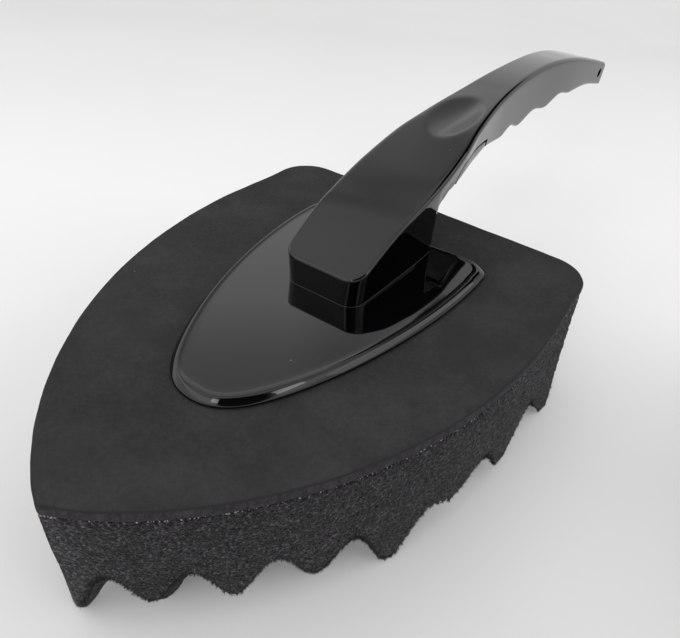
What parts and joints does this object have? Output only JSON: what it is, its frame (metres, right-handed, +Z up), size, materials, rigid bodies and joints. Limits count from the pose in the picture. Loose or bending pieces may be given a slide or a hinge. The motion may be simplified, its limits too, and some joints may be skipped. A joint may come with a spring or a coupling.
{
  "type": "sponge with handle",
  "caption": "Pointed foam sponge with an egg-crate wiping side under a smooth sheet, on a black plate with a long arched handle.",
  "frame": {"origin": "on the surface that the foam's crests stand on, under the middle of the overall length and width", "axes": "+Z up from the wiping side to the handle, +Y from the foam's nose towards the end of the handle, +X across"},
  "size_m": [0.1228, 0.313, 0.0833],
  "materials": {
    "gloss_black": "gloss",
    "smooth_foam": "matte",
    "coarse_foam": "matte",
    "glue": "satin",
    "zinc": "satin"
  },
  "bodies": {
    "root": {"foam_block": "coarse_foam", "foam_top_sheet": "smooth_foam", "laminating_film": "glue", "plate_bond_pad": "glue", "base_plate": "gloss_black", "handle_shell": "gloss_black", "handle_underside_cover": "gloss_black", "foot_screw_1": "zinc", "foot_screw_2": "zinc", "foot_screw_3": "zinc", "foot_screw_4": "zinc"}
  },
  "joints": []
}
